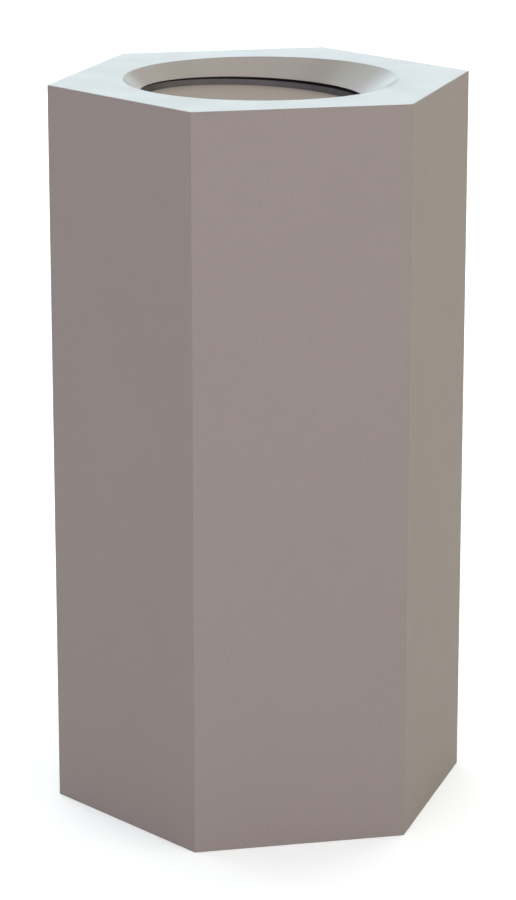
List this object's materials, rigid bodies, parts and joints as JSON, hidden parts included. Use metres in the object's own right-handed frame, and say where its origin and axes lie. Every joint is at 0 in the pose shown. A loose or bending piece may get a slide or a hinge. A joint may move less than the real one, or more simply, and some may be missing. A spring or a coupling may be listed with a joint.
{
  "type": "rock tumbler barrel",
  "caption": "Upright hexagonal rock tumbler barrel with flat sides, a shallow funnel mouth, a rubber liner and a recessed expanding lid with a folding pull.",
  "frame": {"origin": "centre of the closed end that the barrel stands on", "axes": "+Z along the barrel towards its mouth; two of the six flat sides face +Y and -Y, and two corners lie on +X and -X"},
  "size_m": [0.1756, 0.1524, 0.3048],
  "materials": {
    "taupe_enamel": "satin warm grey enamel",
    "lid_enamel": "satin warm grey enamel",
    "liner_rubber": "matt dark grey moulded rubber",
    "seal_rubber": "smooth black rubber",
    "pad_rubber": "dull black sponge rubber",
    "zinc_steel": "zinc-plated steel",
    "stainless_steel": "stainless steel",
    "cast_aluminium": "turned cast aluminium",
    "brass": "turned brass",
    "nylon": "natural nylon"
  },
  "bodies": {
    "barrel": {"barrel_shell": "taupe_enamel", "base_plate": "taupe_enamel", "base_pad": "pad_rubber", "liner": "liner_rubber", "corner_block_1": "zinc_steel", "corner_block_2": "zinc_steel", "corner_block_3": "zinc_steel", "corner_block_4": "zinc_steel", "corner_block_5": "zinc_steel", "corner_block_6": "zinc_steel", "base_screw_1": "zinc_steel", "base_screw_2": "zinc_steel", "base_screw_3": "zinc_steel", "base_screw_4": "zinc_steel", "base_screw_5": "zinc_steel", "base_screw_6": "zinc_steel"},
    "lid": {"lid_plate": "lid_enamel", "lid_gasket": "seal_rubber", "seal_ring": "seal_rubber", "guide_pin_1": "stainless_steel", "guide_pin_2": "stainless_steel", "thrust_washer": "nylon"},
    "bail": {"bail_handle": "stainless_steel"},
    "expander": {"expander_screw": "stainless_steel", "stop_nut": "stainless_steel"},
    "press": {"pressure_disc": "cast_aluminium", "thread_insert": "brass"}
  },
  "joints": [
    {"name": "lid_lift", "type": "slide", "parent": "barrel", "child": "lid", "axis": [0.0443, -0.0096, 0.999], "range_m": [0, 0.12]},
    {"name": "bail_fold", "type": "hinge", "parent": "lid", "child": "bail", "pos_m": [-0.00628, -0.01143, 0.29212], "axis": [-0.9764, 0.2111, 0.0454], "range_deg": [0, 100]},
    {"name": "pressure_travel", "type": "slide", "parent": "lid", "child": "press", "axis": [0.0443, -0.0096, 0.999], "range_m": [-0.0045, 0]},
    {"name": "expander_turn", "type": "hinge", "parent": "lid", "child": "expander", "pos_m": [-0.00344, 0.00074, 0.29648], "axis": [0.0443, -0.0096, 0.999], "range_deg": [0, 1085]}
  ],
  "couplings": [
    {"joint": "expander_turn", "follows": "pressure_travel", "rad_per_m": -4188.8}
  ]
}
